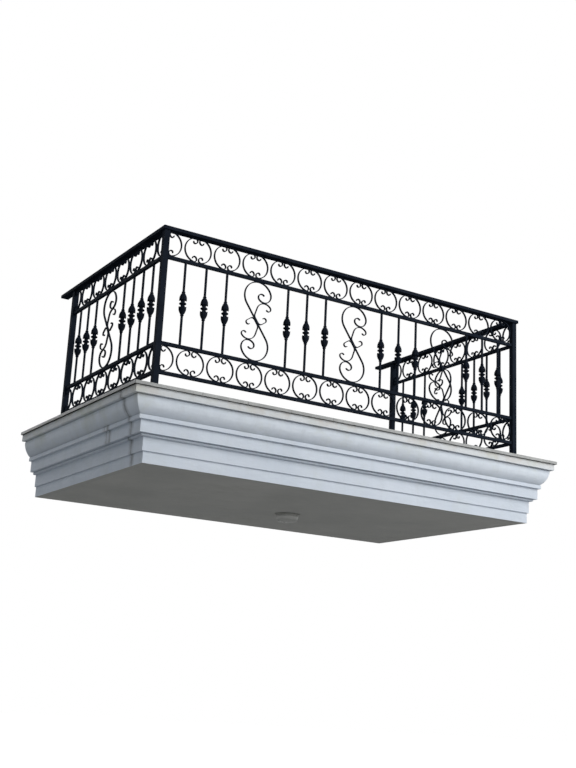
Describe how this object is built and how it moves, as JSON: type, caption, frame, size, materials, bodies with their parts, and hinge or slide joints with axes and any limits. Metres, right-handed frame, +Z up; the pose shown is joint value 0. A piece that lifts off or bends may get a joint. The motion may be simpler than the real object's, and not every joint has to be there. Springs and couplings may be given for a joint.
{
  "type": "iron balcony",
  "caption": "Cantilevered balcony: slab with a stepped moulded cornice round its free edges, tiled floor, ceiling lamp below and a scrolled wrought iron railing.",
  "frame": {"origin": "centre of the slab's end face, where it leaves the wall", "axes": "+X to the right along the wall as seen from outside, +Y into the wall, +Z up; the balcony reaches out to -Y"},
  "size_m": [3.16, 1.825, 1.501],
  "materials": {
    "concrete": "rough cast concrete",
    "soffit_plaster": "fine grey render",
    "floor_tile": "matt grey tile with light joints",
    "edge_tile": "honed pale grey edge tile",
    "cornice_render": "painted smooth render, off-white",
    "lamp_base": "white satin paint",
    "lamp_glass": "opal glass",
    "railing_iron": "black semi-gloss paint on forged iron"
  },
  "bodies": {
    "root": {"slab": "concrete", "soffit_plaster": "soffit_plaster", "floor_tiles": "floor_tile", "floor_edge_front": "edge_tile", "floor_edge_left": "edge_tile", "floor_edge_right": "edge_tile", "cornice_upper_front": "cornice_render", "cornice_upper_left": "cornice_render", "cornice_upper_right": "cornice_render", "cornice_lower_front": "cornice_render", "cornice_lower_left": "cornice_render", "cornice_lower_right": "cornice_render", "ceiling_lamp_base": "lamp_base", "ceiling_lamp_bowl": "lamp_glass", "handrail_front": "railing_iron", "handrail_left": "railing_iron", "handrail_right": "railing_iron", "post_front_left": "railing_iron", "post_front_right": "railing_iron", "post_wall_left": "railing_iron", "post_wall_right": "railing_iron", "post_feet": "railing_iron", "front_upper_rail": "railing_iron", "front_middle_rail": "railing_iron", "front_bottom_rail": "railing_iron", "left_upper_rail": "railing_iron", "left_middle_rail": "railing_iron", "left_bottom_rail": "railing_iron", "right_upper_rail": "railing_iron", "right_middle_rail": "railing_iron", "right_bottom_rail": "railing_iron", "front_upper_frieze": "railing_iron", "left_upper_frieze": "railing_iron", "right_upper_frieze": "railing_iron", "front_lower_frieze": "railing_iron", "left_lower_frieze": "railing_iron", "right_lower_frieze": "railing_iron", "front_balusters": "railing_iron", "left_balusters": "railing_iron", "right_balusters": "railing_iron", "front_scrolls": "railing_iron", "left_scrolls": "railing_iron", "right_scrolls": "railing_iron"}
  },
  "joints": []
}
